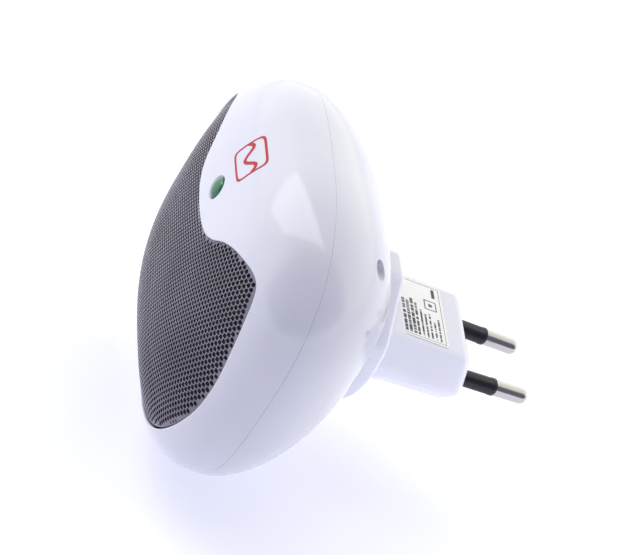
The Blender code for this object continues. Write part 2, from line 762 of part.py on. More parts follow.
def indicator_led():
    """Small lamp behind the lens on two long legs down to the board."""
    base, normal = lens_seat()
    tip = base - normal * 3.7
    front = tip.y
    profile = [(0, 0), (0, 1.9), (1.0, 1.9), (1.0, 1.5), (3.4, 1.5)]
    for k in range(1, 4):
        t = math.pi / 2 * k / 4
        profile.append((3.4 + 1.4 * math.sin(t), 1.5 * math.cos(t)))
    profile.append((4.8, 0))
    piece = finish("indicator_led", turned((0, front + 5.2, LED_Z - 1), (0, -1, 0), profile, 20), "lens_green")
    legs = []
    for side in (-1, 1):
        x = side * 0.95
        legs.append(rod((x, front + 4.9, LED_Z - 1), (x, BOARD_FRONT_Y - GAP, LED_Z - 1), 0.3, 10))
    carve(piece, legs, "UNION")
    sharpen(piece)
    return piece


# ---------------------------------------------------------------- tweeter
def tweeter_ring(name, profile, slot, segments=40):
    """Turned part on the tweeter axis; the profile is (y, radius) and closes on itself."""
    steps = [(TWEETER_FRONT_Y - y, r) for y, r in profile]
    start = (0, TWEETER_FRONT_Y, TWEETER_Z)
    return finish(name, turned(start, (0, -1, 0), steps, segments, closed=True), slot)


def tweeter():
    back = BOARD_FRONT_Y - GAP
    front = TWEETER_FRONT_Y
    inner = TWEETER_RADIUS - 1.5
    steps = [(0, 0), (0, TWEETER_RADIUS), (back - front - 1.5, TWEETER_RADIUS),
             (back - front - 1.5, TWEETER_FLANGE), (back - front, TWEETER_FLANGE), (back - front, inner),
             (2.0, inner), (2.0, 0)]
    finish("transducer_body", turned((0, back, TWEETER_Z), (0, -1, 0), steps, 40), "tweeter_black")
    tweeter_ring("transducer_cone", [(front + 1.0, inner - 0.4), (front + 7.0, 4.0), (front + 7.6, 4.0),
                                     (front + 1.6, inner - 0.4)], "cone_paper")
    disc = [(0, 0), (0, 6.5), (0.6, 6.5), (0.6, 0)]
    finish("piezo_disc", turned((0, front + 8.6, TWEETER_Z), (0, -1, 0), disc, 32), "brass")
    tweeter_ring("speaker_gasket", [(front - 0.3, inner + 0.5), (front - 0.3, TWEETER_FLANGE),
                                    (front - 1.2, TWEETER_FLANGE), (front - 1.2, inner + 0.5)], "foam_grey")


def speaker_wire(name, side, slot):
    """Lead that bows out beside the tweeter and turns back to the board."""
    radius = 0.6
    near = TWEETER_RADIUS + GAP + radius
    y0, y1 = TWEETER_FRONT_Y + 8, BOARD_FRONT_Y - GAP
    rings = []
    for i in range(15):
        t = i / 14
        bow = 5.0 * math.sin(math.pi * min(1.0, t * 1.15) * 0.5)
        centre = Vector((side * (near + bow), y0 + (y1 - y0) * t, TWEETER_Z))
        ahead = Vector((side * (5.0 * math.cos(math.pi * min(1.0, t * 1.15) * 0.5) * 1.8), y1 - y0, 0))
        if i == 14:
            ahead = Vector((0, 1, 0))
        _, u, v = basis(ahead)
        rings.append([tuple(centre + (u * math.cos(a) + v * math.sin(a)) * radius)
                      for a in (2 * math.pi * k / 10 for k in range(10))])
    return finish(name, loft(rings), slot)


def build():
    clear_scene()
    front_cover()
    rear_cover()
    grille()
    grille_cloth()
    led_lens()
    printed_mark()
    plug_housing()
    plug_retainer()
    rating_label()
    for name, side in (("left", -1), ("right", 1)):
        plug_pin("plug_pin_" + name, side)
        pin_sleeve("pin_sleeve_" + name, side)
        contact_strap("contact_strap_" + name, side)
    fasteners()
    circuit_board()
    board_components()
    indicator_led()
    tweeter()
    speaker_wire("speaker_wire_red", -1, "wire_red")
    speaker_wire("speaker_wire_black", 1, "wire_black")


build()
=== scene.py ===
"""Looks of a plug-in ultrasonic pest repeller: gloss shells, perforated grille, flat plug."""
import json
import math

import bmesh
import bpy
from mathutils import Matrix, Vector


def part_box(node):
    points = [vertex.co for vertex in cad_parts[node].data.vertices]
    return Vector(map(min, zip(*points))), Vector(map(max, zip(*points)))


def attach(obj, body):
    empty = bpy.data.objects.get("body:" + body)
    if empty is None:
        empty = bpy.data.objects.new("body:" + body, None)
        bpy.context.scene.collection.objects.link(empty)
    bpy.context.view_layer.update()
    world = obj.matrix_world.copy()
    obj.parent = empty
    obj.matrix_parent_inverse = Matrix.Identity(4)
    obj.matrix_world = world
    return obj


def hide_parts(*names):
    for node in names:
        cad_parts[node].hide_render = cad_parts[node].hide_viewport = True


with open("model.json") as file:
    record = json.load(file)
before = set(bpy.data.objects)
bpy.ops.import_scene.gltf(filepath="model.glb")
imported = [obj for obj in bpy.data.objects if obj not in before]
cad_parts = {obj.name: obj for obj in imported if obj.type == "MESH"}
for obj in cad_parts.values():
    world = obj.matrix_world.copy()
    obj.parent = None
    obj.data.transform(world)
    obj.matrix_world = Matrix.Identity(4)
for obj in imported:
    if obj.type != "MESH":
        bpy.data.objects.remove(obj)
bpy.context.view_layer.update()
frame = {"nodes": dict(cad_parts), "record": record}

MM = 0.001


# ---------------------------------------------------------------- sizes, in millimetres
def box_mm(node):
    low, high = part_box(node)
    return Vector(low) / MM, Vector(high) / MM


FRONT_LOW, FRONT_HIGH = box_mm("front_cover")
REAR_LOW = box_mm("rear_cover")[0]
PLUG_LOW = box_mm("plug_housing")[0]
GAP = 0.3
SEAM_Y = REAR_LOW.y - GAP / 2
HALF_WIDTH = FRONT_HIGH.x
RISE = FRONT_HIGH.z
DROP = -FRONT_LOW.z
WALL = 2.0
SEAM_STEP = 0.5            # straight band beside the parting line
SEAM_GAP = 0.03            # visible slit between the shells
SEAM_EDGE = 0.04           # bevel on each side of the slit
FRONT_DEPTH = 20.2
FRONT_POWER = 2.54
FRONT_SEGMENTS = 360
REAR_DEPTH = 33.0
REAR_POWER = 1.65
REAR_SEGMENTS = 320
REAR_RING_SPREAD = 1.8     # above 1 it crowds the rings toward the outline
OUTLINE_POWER = 2.77
OUTER_RINGS = 44
INNER_RINGS = 12
OPENING_ROUND = 0.55       # rounded edge of the grille opening

GRILLE_CENTRE_Z = -10.0
# right half of the grille outline, from the tongue round the ear and down to the bottom
GRILLE_OUTLINE = [(0, 14.6), (6, 15.0), (11, 16.2), (14.6, 18.2), (18.2, 21.2), (22.4, 23.6),
                  (27, 25.2), (31.4, 26.0), (34.2, 25.4), (36.4, 23.2), (39.0, 17.8),
                  (41.2, 9.5), (42.1, 0.5), (41.4, -8), (38.6, -15.8), (33.8, -22.6),
                  (26, -28.6), (14.5, -32.6), (0, -33.6)]
GRILLE_SETBACK = 0.75
GRILLE_SHEET = 0.13
HOLE_PITCH = 1.24
HOLE_RADIUS = 0.52
HOLE_SIDES = 12
HOLE_ROUND = 0.09
HOLE_ROUND_STEPS = 3
PATTERN_HEIGHT = 80        # span of the hole pattern before it is cut to the outline
PATTERN_HALF_COUNT = 42    # holes on each side of the middle of a row
GRILLE_MARGIN = 0.45       # plain border between the pattern and the outline
BORDER_REACH = 0.58        # holes closer to the border than this share of the pitch shrink
BORDER_STEP = 0.08         # by this much at a time
BORDER_LIMIT = 0.32        # and are left out beyond this
CLOTH_NEAR = WALL + 1.5
CLOTH_FAR = WALL + 1.8
CLOTH_MARGIN = 0.9

COLLAR_RADIUS = 19.8
COLLAR_TOP = 18.6
COLLAR_FLAT = 17.4
COLLAR_FACE_Y = -24.0
COLLAR_ROUND = 1.2
SPIGOT_RADIUS = 15.2
COLLAR_FLAT_FACING = 52.4
COLLAR_CORNER_POWER = 60
COLLAR_LIFT = 0.05         # keeps the collar's foot just off the shell
PLUG_SEGMENTS = 320
PLUG_MIDDLE_Z = 0.5
PLUG_HALF_WIDTH = 17.7
# side, corner and top faces of the plug block: facing in degrees from X, distance from its middle
PLUG_FACES = [(38, 14.4), (54, 13.0), (90, 7.6)]
PLUG_TAPER = 0.5
PLUG_FILLET = 0.8
PLUG_CORNER_POWER = 40
PLUG_END_ROUND = 3.0
BORE_CLEARANCE = 0.12
BORE_MOUTH = 0.4           # countersink where a sleeve leaves the block

PIN_ROOT_X = 9.3
PIN_TIP_X = 8.75
PIN_LENGTH = 19.0
SLEEVE_LENGTH = 10.0
SLEEVE_INNER_Y = -5.0
SLEEVE_RADIUS = 2.1
PIN_RADIUS = 2.0
PIN_INNER_Y = -8.0
PIN_CORE_RADIUS = 1.3      # thin part of a pin, inside its sleeve
PIN_SHOULDER_EDGE = 0.12
PIN_TIP_ROUND = 1.7
PIN_TIP_POWER = 0.62       # below 1 makes the tip blunter than a ball
SLEEVE_BORE = 1.45
SLEEVE_LIP = 0.1

LED_Z = 21.8
LENS_RADIUS = 2.5
LENS_BULGE = 0.9
LENS_STEM = 3.2
LENS_EDGE = 0.05
LENS_SINK = 0.2            # how far the dome starts below the shell
LENS_CLEARANCE = 0.15
LENS_COUNTERSINK = 0.65
MARK_Z = 32.3
MARK_HALF_WIDTH = 5.1
MARK_HALF_HEIGHT = 3.9
MARK_CORNER_POWER = 7
MARK_LINE = 0.26
MARK_WAVE = 1.3
MARK_WAVE_LINE = 0.42
MARK_LIFT = 0.05           # print thickness above and below the shell surface
LABEL_CORNER = 0.9
LABEL_FOOT = 0.02
LABEL_TOP = 0.13
SCREW_X = 21.9
SCREW_Z = 30.8
POCKET_RADIUS = 2.3
POCKET_FLOOR_Y = -51.0
TOWER_RADIUS = 4.2
TOWER_INSET = WALL * 0.45


# ---------------------------------------------------------------- shell surface
def outline_ratio(x, z, inset):
    half = RISE if z > 0 else DROP
    across = abs(x) / (HALF_WIDTH - inset)
    along = abs(z) / (half - inset)
    return (across ** OUTLINE_POWER + along ** OUTLINE_POWER) ** (1 / OUTLINE_POWER)


def dome(depth, power, x, z, inset):
    """How far a shell rises above its straight band at one place."""
    ratio = min(1.0, outline_ratio(x, z, inset))
    return (depth - SEAM_STEP - inset) * (1 - ratio ** power) ** (1 / power)


def front_y(x, z, inset):
    return SEAM_Y - SEAM_STEP - dome(FRONT_DEPTH, FRONT_POWER, x, z, inset)


def rear_y(x, z, inset):
    return SEAM_Y + SEAM_STEP + dome(REAR_DEPTH, REAR_POWER, x, z, inset)


def reach(angle, centre_z, inset):
    """Distance from (0, centre_z) to the shell outline in one direction."""
    low, high = 0.0, 120.0
    for _ in range(36):  # halvings, until the bracket is far below a micron
        mid = (low + high) / 2
        if outline_ratio(mid * math.cos(angle), centre_z + mid * math.sin(angle), inset) < 1:
            low = mid
        else:
            high = mid
    return low


def full_turn(count):
    return [2 * math.pi * (j + 0.5) / count for j in range(count)]


def outline_polar():
    right = [(math.atan2(z - GRILLE_CENTRE_Z, x), math.hypot(x, z - GRILLE_CENTRE_Z))
             for x, z in GRILLE_OUTLINE]
    left = [(math.pi - a, r) for a, r in right[1:-1]]
    return sorted(((a + 2 * math.pi) % (2 * math.pi), r) for a, r in right + left)


OUTLINE_TABLE = outline_polar()


def grille_radius(angle):
    """Smooth closed curve through the outline points, as a radius about the grille centre."""
    table = OUTLINE_TABLE
    count = len(table)
    angle = angle % (2 * math.pi)
    i = max([k for k in range(count) if table[k][0] <= angle], default=count - 1)
    if angle < table[0][0]:
        angle += 2 * math.pi

    def node(k):
        turn, index = divmod(k, count)
        return table[index][0] + 2 * math.pi * turn, table[index][1]

    (a0, r0), (a1, r1), (a2, r2), (a3, r3) = node(i - 1), node(i), node(i + 1), node(i + 2)
    slope1, slope2 = (r2 - r0) / (a2 - a0), (r3 - r1) / (a3 - a1)
    span = a2 - a1
    t = (angle - a1) / span
    return ((2 * t ** 3 - 3 * t ** 2 + 1) * r1 + (t ** 3 - 2 * t ** 2 + t) * span * slope1
            + (3 * t ** 2 - 2 * t ** 3) * r2 + (t ** 3 - t ** 2) * span * slope2)


def grille_point(angle, radius, inset):
    x = radius * math.cos(angle)
    z = GRILLE_CENTRE_Z + radius * math.sin(angle)
    return (x, front_y(x, z, inset), z)


def soft_section(angle, planes, power):
    """Radius of a rounded polygon with the given (facing, distance) sides."""
    c, s = abs(math.cos(angle)), abs(math.sin(angle))
    total = 0.0
    for degrees, distance in planes:
        facing = math.radians(degrees)
        total += ((c * math.cos(facing) + s * math.sin(facing)) / distance) ** power
    return total ** (-1 / power)


def plug_radius(angle, y, shrink=0.0):
    """Section of the plug block, slightly tapered toward its end."""
    share = min(1.0, max(0.0, (y - COLLAR_FACE_Y) / -COLLAR_FACE_Y))
    planes = [(facing, distance - PLUG_TAPER * share - shrink) for facing, distance in PLUG_FACES]
    return soft_section(angle, planes + [(0, PLUG_HALF_WIDTH - shrink)], PLUG_CORNER_POWER)


def collar_radius(angle, shrink=0.0):
    """Round collar with one level and two sloping flats on its upper half."""
    if math.sin(angle) <= 0:
        return COLLAR_RADIUS - shrink
    power = COLLAR_CORNER_POWER
    flat = soft_section(angle, [(90, COLLAR_TOP), (COLLAR_FLAT_FACING, COLLAR_FLAT)], power)
    return (flat ** -power + COLLAR_RADIUS ** -power) ** (-1 / power) - shrink


# ---------------------------------------------------------------- mesh helpers
def make_object(name, points, faces, sharp):
    data = bpy.data.meshes.new(name)
    data.from_pydata([(x * MM, y * MM, z * MM) for x, y, z in points], [], faces)
    work = bmesh.new()
    work.from_mesh(data)
    bmesh.ops.recalc_face_normals(work, faces=work.faces)
    work.to_mesh(data)
    work.free()
    piece = bpy.data.objects.new(name, data)
    bpy.context.scene.collection.objects.link(piece)
    smooth(piece, sharp)
    return piece


def smooth(piece, sharp):
    piece.data.shade_smooth()
    piece.data.set_sharp_from_angle(angle=math.radians(sharp))


def loft(name, rings, closed=False, poles=None, sharp=30):
    """Skin rings of equal count.

    closed joins the last ring to the first, poles close both ends, and otherwise the caps are flat.
    """
    count = len(rings[0])
    points = [p for ring in rings for p in ring]
    faces = []
    for i in range(len(rings) if closed else len(rings) - 1):
        a, b = i * count, ((i + 1) % len(rings)) * count
        for j in range(count):
            k = (j + 1) % count
            faces.append((a + j, a + k, b + k, b + j))
    last = (len(rings) - 1) * count
    if poles:
        points.extend(poles)
        for j in range(count):
            k = (j + 1) % count
            faces.append((len(points) - 2, k, j))
            faces.append((len(points) - 1, last + j, last + k))
    elif not closed:
        faces.append(tuple(reversed(range(count))))
        faces.append(tuple(range(last, last + count)))
    return make_object(name, points, faces, sharp)


def across(direction):
    d = Vector(direction).normalized()
    side = Vector((1, 0, 0)) if abs(d.x) < 0.8 else Vector((0, 0, 1))
    u = (side - d * side.dot(d)).normalized()
    return d, u, d.cross(u)


def turned(name, start, direction, profile, segments=64, closed=False, sharp=30):
    """Solid of revolution from (distance along, radius) pairs."""
    d, u, v = across(direction)
    base = Vector(start)
    rings, poles = [], []
    for along, radius in profile:
        if radius <= 0:
            poles.append(tuple(base + d * along))
            continue
        rings.append([tuple(base + d * along + (u * math.cos(t) + v * math.sin(t)) * radius)
                      for t in full_turn(segments)])
    return loft(name, rings, closed, poles if len(poles) == 2 else None, sharp)


def carve(piece, tool, operation="DIFFERENCE"):
    change = piece.modifiers.new("cut", "BOOLEAN")
    change.operation = operation
    change.solver = "EXACT"
    change.object = tool
    bpy.context.view_layer.update()
    graph = bpy.context.evaluated_depsgraph_get()
    ready = bpy.data.meshes.new_from_object(piece.evaluated_get(graph))
    piece.modifiers.remove(change)
    piece.data = ready
    bpy.data.objects.remove(tool, do_unlink=True)


def arc(steps):
    """Fillet parameters from 0 to a quarter turn: (1 - cos, 1 - sin)."""
    for k in range(steps + 1):
        t = math.pi / 2 * k / steps
        yield 1 - math.cos(t), 1 - math.sin(t)


# ---------------------------------------------------------------- shells
def front_shell():
    turn = full_turn(FRONT_SEGMENTS)
    bounds = [(a, grille_radius(a), reach(a, GRILLE_CENTRE_Z, 0.0)) for a in turn]
    rings = [[grille_point(a, r0, WALL) for a, r0, r1 in bounds]]
    for out, deep in arc(5):
        rings.append([grille_point(a, r0 + OPENING_ROUND * out, OPENING_ROUND * deep)
                      for a, r0, r1 in bounds])
    for i in range(1, OUTER_RINGS + 1):
        w = math.sin(math.pi / 2 * i / OUTER_RINGS)
        rings.append([grille_point(a, r0 + OPENING_ROUND + (r1 - r0 - OPENING_ROUND) * w, 0.0)
                      for a, r0, r1 in bounds])
    slit_y = SEAM_Y - SEAM_GAP / 2
    rings.append(flat_ring(turn, GRILLE_CENTRE_Z, 0.0, slit_y - SEAM_EDGE))
    for inset in (SEAM_EDGE, WALL):
        rings.append(flat_ring(turn, GRILLE_CENTRE_Z, inset, slit_y))
    for i in range(INNER_RINGS, 0, -1):
        w = math.sin(math.pi / 2 * i / INNER_RINGS)
        rings.append([grille_point(a, r0 + (reach(a, GRILLE_CENTRE_Z, WALL) - r0) * w, WALL)
                      for a, r0, r1 in bounds])
    piece = loft("front_shell", rings, closed=True, sharp=50)
    base, normal = lens_seat()
    wide = LENS_RADIUS + LENS_CLEARANCE
    mouth = wide + LENS_COUNTERSINK
    profile = [(-6, 0), (-6, wide), (-0.55, wide), (0.25, mouth), (3, mouth), (3, 0)]
    carve(piece, turned("lens_hole", base, normal, profile, 72))
    smooth(piece, 35)
    return piece


def flat_ring(turn, centre_z, inset, y):
    """Shell outline at one depth, with a point in each direction from (0, centre_z)."""
    ring = []
    for a in turn:
        r = reach(a, centre_z, inset)
        ring.append((r * math.cos(a), y, centre_z + r * math.sin(a)))
    return ring


def rear_shell():
    turn = full_turn(REAR_SEGMENTS)
    slit_y = SEAM_Y + SEAM_GAP / 2
    rings = [flat_ring(turn, 0, WALL, slit_y), flat_ring(turn, 0, SEAM_EDGE, slit_y),
             flat_ring(turn, 0, 0.0, slit_y + SEAM_EDGE)]
    opening = SPIGOT_RADIUS + GAP
    outside = [i / OUTER_RINGS for i in range(OUTER_RINGS + 1)]
    inside = [i / INNER_RINGS for i in range(INNER_RINGS, 0, -1)]
    for inset, shares in ((0.0, outside), (WALL, inside)):
        edges = [(a, reach(a, 0, inset)) for a in turn]
        for share in shares:
            ring = []
            for a, edge in edges:
                r = edge + (opening - edge) * share ** REAR_RING_SPREAD
                x, z = r * math.cos(a), r * math.sin(a)
                ring.append((x, rear_y(x, z, inset), z))
            rings.append(ring)
    piece = loft("rear_shell", rings, closed=True, sharp=50)
    for side in (-1, 1):
        carve(piece, tower(side * SCREW_X, SCREW_Z, TOWER_RADIUS, SEAM_Y + GAP), "UNION")
        mouth = rear_y(SCREW_X, SCREW_Z, 0) - POCKET_FLOOR_Y + 8
        profile = [(0, 0), (0, POCKET_RADIUS), (mouth, POCKET_RADIUS), (mouth, 0)]
        start = (side * SCREW_X, POCKET_FLOOR_Y, SCREW_Z)
        carve(piece, turned("pocket", start, (0, 1, 0), profile, 64))
    smooth(piece, 35)
    return piece


def tower(x, z, radius, start_y):
    """Screw tower from the parting line into the rear wall, which its far end follows."""
    rings = []
    for share, flat in ((0.5, True), (1.0, True), (1.0, False), (0.5, False)):
        ring = []
        for t in full_turn(40):
            px, pz = x + radius * share * math.cos(t), z + radius * share * math.sin(t)
            ring.append((px, start_y if flat else rear_y(px, pz, TOWER_INSET), pz))
        rings.append(ring)
    return loft("tower", rings, poles=[(x, start_y, z), (x, rear_y(x, z, TOWER_INSET), z)])


def plug_body():
    """Spigot, collar and plug block as one moulding, with a bore for each sleeve."""
    turn = full_turn(PLUG_SEGMENTS)
    rings = []

    def ring(radius, depth, middle=0.0):
        made = []
        for a in turn:
            x, z = radius(a) * math.cos(a), middle + radius(a) * math.sin(a)
            made.append((x, depth(x, z), z))
        rings.append(made)

    def on_shell(x, z):
        return rear_y(x, z, 0.0) + COLLAR_LIFT

    ring(lambda a: SPIGOT_RADIUS, lambda x, z: PLUG_LOW.y)
    ring(lambda a: SPIGOT_RADIUS, on_shell)
    ring(collar_radius, on_shell)
    for out, deep in arc(6):
        y = COLLAR_FACE_Y - COLLAR_ROUND * deep
        ring(lambda a: collar_radius(a, COLLAR_ROUND * out), lambda x, z: y)
    for out, deep in reversed(list(arc(5))):
        y = COLLAR_FACE_Y + PLUG_FILLET * out
        ring(lambda a: plug_radius(a, COLLAR_FACE_Y, -PLUG_FILLET * deep), lambda x, z: y,
             PLUG_MIDDLE_Z)
    for quarter in (3, 2, 1):
        y = COLLAR_FACE_Y * quarter / 4
        ring(lambda a: plug_radius(a, y), lambda x, z: y, PLUG_MIDDLE_Z)
    for out, deep in arc(10):
        y = -PLUG_END_ROUND * deep
        ring(lambda a: plug_radius(a, y, PLUG_END_ROUND * out), lambda x, z: y, PLUG_MIDDLE_Z)
    piece = loft("plug_body", rings, sharp=40)
    for side in (-1, 1):
        start = pin_at(side, SLEEVE_INNER_Y)
        along = pin_at(side, 2) - start
        narrow = SLEEVE_RADIUS + BORE_CLEARANCE
        wide = narrow + BORE_MOUTH
        face = -SLEEVE_INNER_Y
        profile = [(0, 0), (0, narrow), (face - 0.3, narrow), (face + 0.2, wide),
                   (face + 2, wide), (face + 2, 0)]
        carve(piece, turned("bore", start, along, profile, 48))
    smooth(piece, 38)
    return piece


# ---------------------------------------------------------------- grille
def inside_outline(x, z, margin):
    angle = math.atan2(z - GRILLE_CENTRE_Z, x)
    return math.hypot(x, z - GRILLE_CENTRE_Z) < grille_radius(angle) - margin


def pulled_in(x, z, margin):
    """Move a point outside the outline onto it, straight toward the grille centre."""
    angle = math.atan2(z - GRILLE_CENTRE_Z, x)
    limit = grille_radius(angle) - margin
    r = math.hypot(x, z - GRILLE_CENTRE_Z)
    if r <= limit:
        return x, z
    return limit * math.cos(angle), GRILLE_CENTRE_Z + limit * math.sin(angle)


def hexagon(cx, cz):
    """Corners of one cell of the hole pattern."""
    far = HOLE_PITCH / math.sqrt(3)
    turns = [math.radians(30 + 60 * k) for k in range(6)]
    return [(cx + far * math.cos(t), cz + far * math.sin(t)) for t in turns]


def border_shrink(cx, cz):
    """How much smaller the hole at this place is, because the border is near."""
    full = GRILLE_MARGIN + HOLE_PITCH * BORDER_REACH
    shrink = 0.0
    while shrink < BORDER_LIMIT and not inside_outline(cx, cz, full - shrink):
        shrink += BORDER_STEP
    return shrink


def perforated_grille():
    """Staggered round holes punched through a curved sheet, each in its own six-sided cell."""
    points, faces, index = [], [], {}

    def vertex(x, z, inset):
        key = (round(x, 3), round(z, 3), inset)
        if key not in index:
            index[key] = len(points)
            points.append((x, front_y(x, z, inset), z))
        return index[key]

    def hole_loops(cx, cz, radius):
        profile = [(radius + HOLE_ROUND * out, GRILLE_SETBACK + HOLE_ROUND * deep)
                   for out, deep in reversed(list(arc(HOLE_ROUND_STEPS)))]
        profile.append((radius, GRILLE_SETBACK + GRILLE_SHEET))
        turns = [math.radians(30) + 2 * math.pi * k / HOLE_SIDES for k in range(HOLE_SIDES)]
        return [[vertex(cx + r * math.cos(t), cz + r * math.sin(t), inset) for t in turns]
                for r, inset in profile]

    def add_cell(rim, loops):
        outer = loops[0]
        share = HOLE_SIDES // 6
        for c in range(6):
            run = [outer[(c * share + k) % HOLE_SIDES] for k in range(share + 1)]
            faces.append(tuple([rim[c], rim[(c + 1) % 6]] + list(reversed(run))))
        for upper, lower in zip(loops, loops[1:]):
            for k in range(HOLE_SIDES):
                m = (k + 1) % HOLE_SIDES
                faces.append((upper[k], upper[m], lower[m], lower[k]))

    step_z = HOLE_PITCH * math.sqrt(3) / 2
    rows = int(PATTERN_HEIGHT / step_z)
    for row in range(-rows // 2, rows // 2 + 1):
        for column in range(-PATTERN_HALF_COUNT, PATTERN_HALF_COUNT + 1):
            cx = (column + 0.5 * (row % 2)) * HOLE_PITCH
            cz = GRILLE_CENTRE_Z + row * step_z
            corners = hexagon(cx, cz)
            if not any(inside_outline(x, z, GRILLE_MARGIN) for x, z in corners):
                continue
            corners = [pulled_in(x, z, GRILLE_MARGIN) for x, z in corners]
            rim = [vertex(x, z, GRILLE_SETBACK) for x, z in corners]
            shrink = border_shrink(cx, cz)
            if shrink < BORDER_LIMIT:
                add_cell(rim, hole_loops(cx, cz, HOLE_RADIUS - shrink))
            elif len(set(rim)) > 2:
                faces.append(tuple(dict.fromkeys(rim)))
    return make_object("perforated_grille", points, faces, 60)


def grille_rim():
    """Plain folded edge of the sheet, tucked under the shell."""
    turn = full_turn(360)
    section = [(-0.62, GRILLE_SETBACK + GRILLE_SHEET), (-0.46, GRILLE_SETBACK + 0.03),
               (-0.40, GRILLE_SETBACK + 0.2), (-0.38, WALL + 0.1), (0.7, WALL + 0.12),
               (0.7, WALL + 0.6), (-0.62, WALL + 0.6)]
    rings = [[grille_point(a, grille_radius(a) + shift, inset) for a in turn]
             for shift, inset in section]
    return loft("grille_rim", rings, closed=True, sharp=60)


def dust_cloth():
    turn = full_turn(180)
    out = (0.2, 0.4, 0.6, 0.8, 1.0)
    rings = [[grille_point(a, (grille_radius(a) - CLOTH_MARGIN) * share, inset) for a in turn]
             for inset, shares in ((CLOTH_NEAR, out), (CLOTH_FAR, tuple(reversed(out))))
             for share in shares]
    poles = [(0, front_y(0, GRILLE_CENTRE_Z, inset), GRILLE_CENTRE_Z)
             for inset in (CLOTH_NEAR, CLOTH_FAR)]
    return loft("dust_cloth", rings, poles=poles, sharp=50)


# ---------------------------------------------------------------- lens, mark and label
def lens_seat():
    """Point on the tongue under the lens, and the outward normal there."""
    step = 0.2
    here = Vector((0, front_y(0, LED_Z, 0), LED_Z))
    rise = (front_y(0, LED_Z + step, 0) - front_y(0, LED_Z - step, 0)) / (2 * step)
    return here, Vector((0, -1, rise)).normalized()


def green_lens():
    base, normal = lens_seat()
    dome_radius = LENS_RADIUS - LENS_EDGE
    profile = [(-LENS_STEM, 0), (-LENS_STEM, LENS_RADIUS), (-0.35, LENS_RADIUS),
               (-LENS_SINK, dome_radius)]
    steps = 13
    for k in range(1, steps):
        t = math.pi / 2 * k / steps
        profile.append(((LENS_BULGE + 0.1) * math.sin(t) - LENS_SINK, dome_radius * math.cos(t)))
    profile.append((LENS_BULGE - 0.1, 0))
    return turned("green_lens", base, normal, profile, 64, sharp=40)


def printed_ring(points):
    """Section of a printed line between two points, straddling the shell surface."""
    (x0, z0), (x1, z1) = points
    corners = ((x0, z0, -MARK_LIFT), (x1, z1, -MARK_LIFT), (x1, z1, MARK_LIFT), (x0, z0, MARK_LIFT))
    return [(x, front_y(x, z, 0) - lift, z) for x, z, lift in corners]


def printed_frame():
    """Rounded frame line of the mark."""
    rings = []
    for t in full_turn(240):
        c, s = math.cos(t), math.sin(t)
        edge = []
        for shift in (-MARK_LINE, MARK_LINE):
            wide, high = MARK_HALF_WIDTH + shift, MARK_HALF_HEIGHT + shift
            swell = abs(c / wide) ** MARK_CORNER_POWER + abs(s / high) ** MARK_CORNER_POWER
            r = swell ** (-1 / MARK_CORNER_POWER)
            edge.append((r * c, MARK_Z + r * s))
        rings.append(printed_ring(edge))
    return loft("wave_mark", rings, closed=True)


def printed_wave():
    """Wave line from one side of the frame to the other."""
    rings = []
    count = 96
    turns = 3 * math.pi
    for i in range(count + 1):
        t = i / count
        x = (2 * t - 1) * MARK_HALF_WIDTH
        z = MARK_Z + MARK_WAVE * math.sin(turns * t)
        slope = MARK_WAVE * turns * math.cos(turns * t) / (2 * MARK_HALF_WIDTH)
        aside = MARK_WAVE_LINE / math.hypot(1, slope)
        rings.append(printed_ring([(x + slope * aside, z - aside), (x - slope * aside, z + aside)]))
    return loft("wave_line", rings)


def wave_mark():
    """Plain print above the lens: a rounded frame with a wave line across it."""
    piece = printed_frame()
    carve(piece, printed_wave(), "UNION")
    smooth(piece, 30)
    return piece


def paper_label():
    low, high = box_mm("rating_label")
    rings = []
    for lift in (LABEL_FOOT, LABEL_TOP):
        ring = []
        for sx, sy, begin in ((1, 1, 0), (-1, 1, 90), (-1, -1, 180), (1, -1, 270)):
            for k in range(7):
                t = math.radians(begin + 15 * k)
                x = sx * (high.x - LABEL_CORNER) + LABEL_CORNER * math.cos(t)
                y = (high.y if sy > 0 else low.y) - sy * LABEL_CORNER + LABEL_CORNER * math.sin(t)
                ring.append((x, y, PLUG_MIDDLE_Z + plug_radius(math.pi / 2, y) + lift))
        rings.append(ring)
    return loft("paper_label", rings, sharp=30)


# ---------------------------------------------------------------- pins
def pin_at(side, y):
    """Point on the axis of a pin; the two pins lean slightly toward each other."""
    x = PIN_ROOT_X + (PIN_TIP_X - PIN_ROOT_X) * y / PIN_LENGTH
    return Vector((side * x, y, 0))


def metal_pin(name, side):
    start = pin_at(side, PIN_INNER_Y)
    along = pin_at(side, PIN_LENGTH) - start
    end = along.length
    shoulder = end - (PIN_LENGTH - SLEEVE_LENGTH) + 0.05
    profile = [(0, 0), (0, PIN_CORE_RADIUS), (shoulder, PIN_CORE_RADIUS),
               (shoulder, PIN_RADIUS - PIN_SHOULDER_EDGE),
               (shoulder + PIN_SHOULDER_EDGE, PIN_RADIUS), (end - PIN_TIP_ROUND, PIN_RADIUS)]
    steps = 12
    for k in range(1, steps):
        t = math.pi / 2 * k / steps
        profile.append((end - PIN_TIP_ROUND * (1 - math.sin(t)),
                        PIN_RADIUS * math.cos(t) ** PIN_TIP_POWER))
    profile.append((end, 0))
    return turned(name, start, along, profile, 64, sharp=40)


def sleeve(name, side):
    """Insulating sleeve with a slightly raised lip at its outer end."""
    start = pin_at(side, SLEEVE_INNER_Y + 0.2)
    along = pin_at(side, SLEEVE_LENGTH) - start
    end = along.length
    r = SLEEVE_RADIUS
    profile = [(0, SLEEVE_BORE), (0, r), (end - 1.3, r), (end - 1.15, r + SLEEVE_LIP),
               (end - 0.25, r + SLEEVE_LIP), (end - 0.1, r + 0.04), (end, r - 0.08),
               (end, SLEEVE_BORE)]
    return turned(name, start, along, profile, 64, closed=True, sharp=40)


